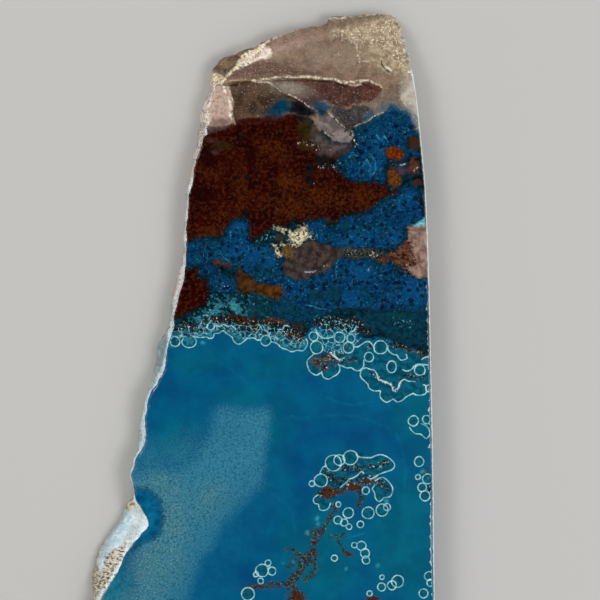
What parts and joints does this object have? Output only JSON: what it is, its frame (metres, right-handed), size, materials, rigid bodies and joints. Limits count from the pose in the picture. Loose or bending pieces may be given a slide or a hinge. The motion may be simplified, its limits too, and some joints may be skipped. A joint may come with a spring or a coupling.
{
  "type": "shattuckite slice",
  "caption": "Sawn and polished slab of blue shattuckite with a broken quartz cap, a natural rind on one side and a sawn edge on the other; lies flat on its back.",
  "frame": {"origin": "middle of the box of the flat sawn back, which the slab lies on", "axes": "+Z out of the polished face, +Y towards the broken quartz end, +X towards the long sawn edge"},
  "size_m": [0.071, 0.146, 0.007],
  "materials": {
    "polished_stone": "polished"
  },
  "bodies": {
    "root": {"slice": "polished_stone"}
  },
  "joints": []
}
